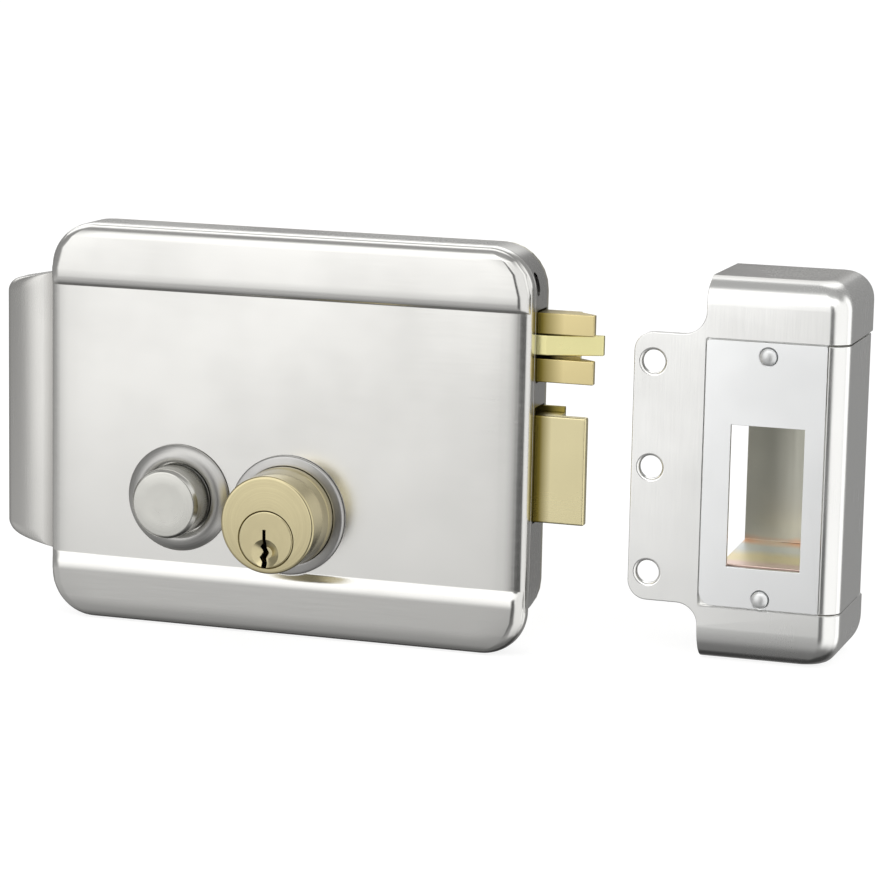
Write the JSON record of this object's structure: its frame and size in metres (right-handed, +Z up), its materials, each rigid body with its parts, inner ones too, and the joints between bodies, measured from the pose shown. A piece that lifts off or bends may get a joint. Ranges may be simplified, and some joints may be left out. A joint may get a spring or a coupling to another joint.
{
  "type": "electric door strike",
  "caption": "Surface-mounted electric rim lock with push button, key cylinder, three-leaf trigger and main bolt, with its separate box strike and screw tab.",
  "frame": {"origin": "door-side face of the lock's back plate, at the centre of the lock case", "axes": "+X towards the bolts, along the lock; +Y into the door, so the button, cylinder and strike mouth face -Y; +Z up"},
  "size_m": [0.2246, 0.0639, 0.105],
  "materials": {
    "satin_nickel": "satin nickel plate, fine brushed grain",
    "nickel_edge": "satin nickel plate, darker on the folded sides",
    "zinc_steel": "zinc plated sheet with a faint yellow tint",
    "pale_steel": "pale matt stainless plate",
    "bright_steel": "turned bright steel",
    "spring_steel": "drawn spring wire",
    "bolt_brass": "machined pale brass",
    "cylinder_brass": "turned satin brass",
    "coil_copper": "enamelled copper winding",
    "black_plastic": "moulded black plastic",
    "white_plastic": "moulded off-white nylon",
    "red_wire": "red wire sleeve"
  },
  "bodies": {
    "lock_case": {"back_plate": "zinc_steel", "rear_case": "nickel_edge", "front_cover": "satin_nickel", "end_cover": "satin_nickel", "case_post_1": "bright_steel", "case_post_2": "bright_steel", "case_post_3": "bright_steel", "case_post_4": "bright_steel", "case_screw_1": "bright_steel", "case_screw_2": "bright_steel", "case_screw_3": "bright_steel", "case_screw_4": "bright_steel", "cylinder_ring": "satin_nickel", "cylinder_barrel": "cylinder_brass", "button_flange": "satin_nickel", "button_guide": "zinc_steel", "button_spring": "spring_steel", "rocker_bracket": "zinc_steel", "rocker_pin": "bright_steel", "rocker_spring": "spring_steel", "solenoid_frame": "zinc_steel", "solenoid_bobbin": "white_plastic", "solenoid_coil": "coil_copper", "solenoid_core": "bright_steel", "terminal_block": "black_plastic", "terminal_screw_1": "bolt_brass", "terminal_screw_2": "bolt_brass", "lead_wire_1": "red_wire", "lead_wire_2": "black_plastic", "tail_guide_post": "bright_steel", "bolt_spring_bracket": "zinc_steel", "bolt_spring_rod": "bright_steel", "bolt_spring": "spring_steel", "trigger_spring_bracket": "zinc_steel", "upper_spring_rod": "bright_steel", "middle_spring_rod": "bright_steel", "upper_leaf_spring": "spring_steel", "middle_leaf_spring": "spring_steel", "strike_body": "satin_nickel", "strike_face_plate": "pale_steel", "strike_side_cover": "satin_nickel", "strike_pocket": "zinc_steel", "strike_screw_lower": "bright_steel", "strike_screw_upper": "bright_steel"},
    "button": {"push_button": "bright_steel", "button_stem": "zinc_steel"},
    "rocker": {"release_rocker": "zinc_steel", "armature_plate": "bright_steel"},
    "key_plug": {"cylinder_plug": "cylinder_brass", "cylinder_cam": "zinc_steel", "crank_pin": "bright_steel"},
    "bolt": {"main_bolt": "bolt_brass", "bolt_tail": "zinc_steel", "bolt_backing": "bolt_brass", "tail_rivet_1": "bright_steel", "tail_rivet_2": "bright_steel"},
    "outer_leaves": {"upper_leaf": "bolt_brass", "lower_leaf": "bolt_brass", "leaf_carriage": "bolt_brass"},
    "trigger": {"middle_leaf": "bolt_brass"}
  },
  "joints": [
    {"name": "button_press", "type": "slide", "parent": "lock_case", "child": "button", "axis": [0, 1, 0], "range_m": [0, 0.0035], "stiffness_N_per_m": 500, "springref_m": -0.004, "deforming": ["button_spring"]},
    {"name": "rocker_swing", "type": "hinge", "parent": "lock_case", "child": "rocker", "pos_m": [-0.014, -0.0072, 0], "axis": [0, 0, -1], "range_deg": [0, 14.5], "deforming": ["rocker_spring"]},
    {"name": "bolt_slide", "type": "slide", "parent": "lock_case", "child": "bolt", "axis": [-1, 0, 0], "range_m": [0, 0.013], "stiffness_N_per_m": 300, "springref_m": -0.008, "deforming": ["bolt_spring"]},
    {"name": "plug_turn", "type": "hinge", "parent": "lock_case", "child": "key_plug", "pos_m": [0.0012, 0, -0.024], "axis": [0, -1, 0], "range_deg": [0, 90.5]},
    {"name": "outer_leaf_slide", "type": "slide", "parent": "lock_case", "child": "outer_leaves", "axis": [-1, 0, 0], "range_m": [0, 0.0146], "stiffness_N_per_m": 200, "springref_m": -0.008, "deforming": ["upper_leaf_spring"]},
    {"name": "trigger_slide", "type": "slide", "parent": "lock_case", "child": "trigger", "axis": [-1, 0, 0], "range_m": [0, 0.0158], "stiffness_N_per_m": 150, "springref_m": -0.008, "deforming": ["middle_leaf_spring"]}
  ],
  "couplings": [
    {"joint": "rocker_swing", "follows": "button_press", "rad_per_m": 72},
    {"joint": "plug_turn", "follows": "bolt_slide", "rad_per_m": 120.8}
  ]
}
